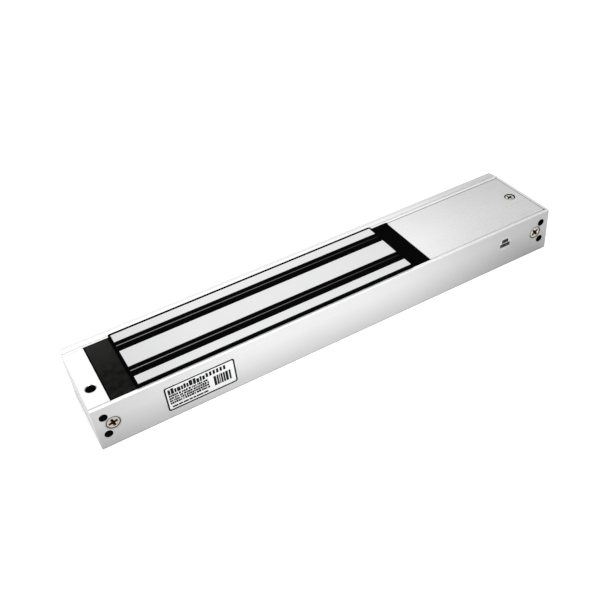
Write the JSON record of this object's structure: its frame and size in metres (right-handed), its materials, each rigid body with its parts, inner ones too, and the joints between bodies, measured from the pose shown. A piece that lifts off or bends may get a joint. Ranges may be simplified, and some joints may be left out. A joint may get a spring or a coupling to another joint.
{
  "type": "electromagnetic door lock",
  "caption": "Surface-mounted electromagnetic lock: aluminium channel with an E-shaped magnet in black resin, a lift-off cover over the wiring compartment and a separable mounting plate.",
  "frame": {"origin": "middle of the underside, opposite the magnetic face", "axes": "+X along the lock towards the wiring compartment, +Y towards the mounting plate, +Z out of the magnetic face"},
  "size_m": [0.25, 0.0472, 0.0255],
  "materials": {
    "housing_aluminium": "satin silver anodised, fine lengthwise grain",
    "plate_aluminium": "mill satin",
    "pole_steel": "ground and plated",
    "screw_nickel": "nickel plated, slightly warm",
    "black_resin": "cast epoxy, semi-gloss",
    "grey_resin": "cast epoxy, matt and finely pitted",
    "copper_wire": "enamelled copper",
    "nylon": "moulded",
    "press_board": "pressed insulating board",
    "tray_plastic": "moulded ABS",
    "circuit_board": "green solder mask",
    "terminal_plastic": "moulded",
    "brass": "plated",
    "varistor": "dipped epoxy",
    "diode": "moulded",
    "header_plastic": "moulded",
    "cap_plastic": "moulded",
    "lead_red": "extruded PVC",
    "lead_black": "extruded PVC",
    "lead_yellow": "extruded PVC",
    "lead_white": "extruded PVC",
    "rubber": "moulded",
    "label_film": null,
    "sticker_paper": null
  },
  "bodies": {
    "lock_body": {"housing_channel": "housing_aluminium", "left_end_block": "housing_aluminium", "right_end_block": "housing_aluminium", "e_core": "pole_steel", "core_surround": "black_resin", "slot_resin_near": "black_resin", "slot_resin_far": "black_resin", "left_resin_block": "grey_resin", "right_resin_block": "black_resin", "coil_bobbin": "nylon", "coil_winding": "copper_wire", "core_bed": "press_board", "wiring_tray": "tray_plastic", "circuit_board": "circuit_board", "board_screw_1": "screw_nickel", "board_screw_2": "screw_nickel", "board_screw_3": "screw_nickel", "board_screw_4": "screw_nickel", "terminal_block": "terminal_plastic", "surge_varistor": "varistor", "flyback_diode": "diode", "selector_header": "header_plastic", "selector_pin_1": "brass", "selector_pin_2": "brass", "selector_pin_3": "brass", "selector_pin_4": "brass", "selector_pin_5": "brass", "selector_pin_6": "brass", "coil_lead_red": "lead_red", "coil_lead_black": "lead_black", "coil_lead_yellow": "lead_yellow", "coil_lead_white": "lead_white", "cable_grommet": "rubber", "rating_label": "label_film", "inspection_sticker": "sticker_paper"},
    "cover": {"cover_plate": "housing_aluminium"},
    "cover_fastener": {"cover_screw": "screw_nickel"},
    "left_fixing": {"body_screw_left": "screw_nickel"},
    "right_fixing": {"body_screw_right": "screw_nickel"},
    "plate": {"mounting_plate": "plate_aluminium"},
    "left_terminal_screw": {"terminal_screw_left": "screw_nickel"},
    "right_terminal_screw": {"terminal_screw_right": "screw_nickel"},
    "left_clamp": {"terminal_clamp_left": "brass"},
    "right_clamp": {"terminal_clamp_right": "brass"},
    "near_selector_cap": {"selector_cap_near": "cap_plastic"},
    "far_selector_cap": {"selector_cap_far": "cap_plastic"}
  },
  "joints": [
    {"name": "cover_lift", "type": "slide", "parent": "lock_body", "child": "cover", "axis": [0, 0, 1], "range_m": [0, 0.03]},
    {"name": "cover_screw_draw", "type": "slide", "parent": "cover", "child": "cover_fastener", "axis": [0, 0, 1], "range_m": [0, 0.012]},
    {"name": "left_screw_draw", "type": "slide", "parent": "lock_body", "child": "left_fixing", "axis": [0, -1, 0], "range_m": [0, 0.05]},
    {"name": "right_screw_draw", "type": "slide", "parent": "lock_body", "child": "right_fixing", "axis": [0, -1, 0], "range_m": [0, 0.05]},
    {"name": "plate_part", "type": "slide", "parent": "lock_body", "child": "plate", "axis": [0, 1, 0], "range_m": [0, 0.03]},
    {"name": "left_terminal_turn", "type": "hinge", "parent": "lock_body", "child": "left_terminal_screw", "pos_m": [0.0865, -0.00135, 0.0176], "axis": [0, 0, -1], "range_deg": [0, 1440]},
    {"name": "right_terminal_turn", "type": "hinge", "parent": "lock_body", "child": "right_terminal_screw", "pos_m": [0.0915, -0.00135, 0.0176], "axis": [0, 0, -1], "range_deg": [0, 1440]},
    {"name": "left_clamp_rise", "type": "slide", "parent": "lock_body", "child": "left_clamp", "axis": [0, 0, 1], "range_m": [0, 0.0018]},
    {"name": "right_clamp_rise", "type": "slide", "parent": "lock_body", "child": "right_clamp", "axis": [0, 0, 1], "range_m": [0, 0.0018]},
    {"name": "near_cap_pull", "type": "slide", "parent": "lock_body", "child": "near_selector_cap", "axis": [0, 0, 1], "range_m": [0, 0.0044]},
    {"name": "far_cap_pull", "type": "slide", "parent": "lock_body", "child": "far_selector_cap", "axis": [0, 0, 1], "range_m": [0, 0.0044]}
  ],
  "couplings": [
    {"joint": "left_clamp_rise", "follows": "left_terminal_turn", "m_per_rad": 0.0000716},
    {"joint": "right_clamp_rise", "follows": "right_terminal_turn", "m_per_rad": 0.0000716}
  ]
}
